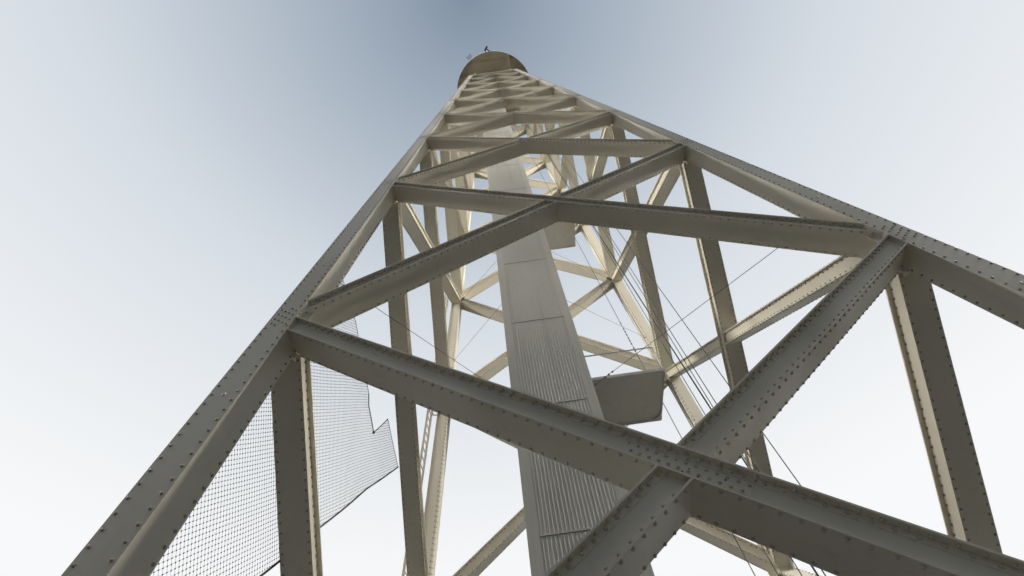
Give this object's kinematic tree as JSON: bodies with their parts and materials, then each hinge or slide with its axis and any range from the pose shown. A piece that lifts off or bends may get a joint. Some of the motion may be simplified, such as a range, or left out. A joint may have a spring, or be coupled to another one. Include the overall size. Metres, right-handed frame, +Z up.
{
  "type": "steel lattice lookout tower, 1:2 scale model",
  "caption": "Battered steel lattice tower with X-braced faces, a sheet-clad inner shaft and a round railed head with a domed cab; a half-size scale model.",
  "frame": {"origin": "on the ground, on the tower's vertical axis, level with the undersides of the four feet", "axes": "+Z up the tower; the near face looks to -Y; the shaft stands to the left of the axis, which is -X, and the landings stick out of it to +X"},
  "size_m": [5.2766, 5.2766, 26.08],
  "materials": {
    "tower_paint": "worn off-white paint on riveted steel",
    "foot_paint": "grey paint",
    "head_paint": "weathered off-white paint",
    "shaft_paint": "matt off-white paint on ribbed sheet",
    "ladder_paint": "worn paint",
    "wire_rope": "dark greased wire rope",
    "net_cord": "dark knotted cord",
    "dark_fittings": "dark paint"
  },
  "bodies": {
    "root": {"near_left_leg": "tower_paint", "near_right_leg": "tower_paint", "far_right_leg": "tower_paint", "far_left_leg": "tower_paint", "near_falling_diagonals": "tower_paint", "near_rising_diagonals_lower": "tower_paint", "near_rising_diagonals_upper": "tower_paint", "right_falling_diagonals": "tower_paint", "right_rising_diagonals_lower": "tower_paint", "right_rising_diagonals_upper": "tower_paint", "far_falling_diagonals": "tower_paint", "far_rising_diagonals_lower": "tower_paint", "far_rising_diagonals_upper": "tower_paint", "left_falling_diagonals": "tower_paint", "left_rising_diagonals_lower": "tower_paint", "left_rising_diagonals_upper": "tower_paint", "top_ring": "tower_paint", "head_posts": "tower_paint", "near_left_foot": "foot_paint", "near_right_foot": "foot_paint", "far_right_foot": "foot_paint", "far_left_foot": "foot_paint", "rope_anchor": "foot_paint", "girders": "head_paint", "joists": "head_paint", "deck": "head_paint", "deck_rim": "head_paint", "guard_rail": "head_paint", "cab_wall": "head_paint", "cab_window_posts": "head_paint", "cab_head_ring": "head_paint", "cab_roof": "head_paint", "shaft_near_wall": "shaft_paint", "shaft_far_wall": "shaft_paint", "shaft_left_wall": "shaft_paint", "shaft_right_wall": "shaft_paint", "shaft_corner_strips": "shaft_paint", "lower_landing": "shaft_paint", "upper_landing": "shaft_paint", "ladder": "ladder_paint", "hoist_ropes": "wire_rope", "safety_net": "net_cord", "floodlight": "dark_fittings", "aerial_grid": "dark_fittings"}
  },
  "joints": []
}
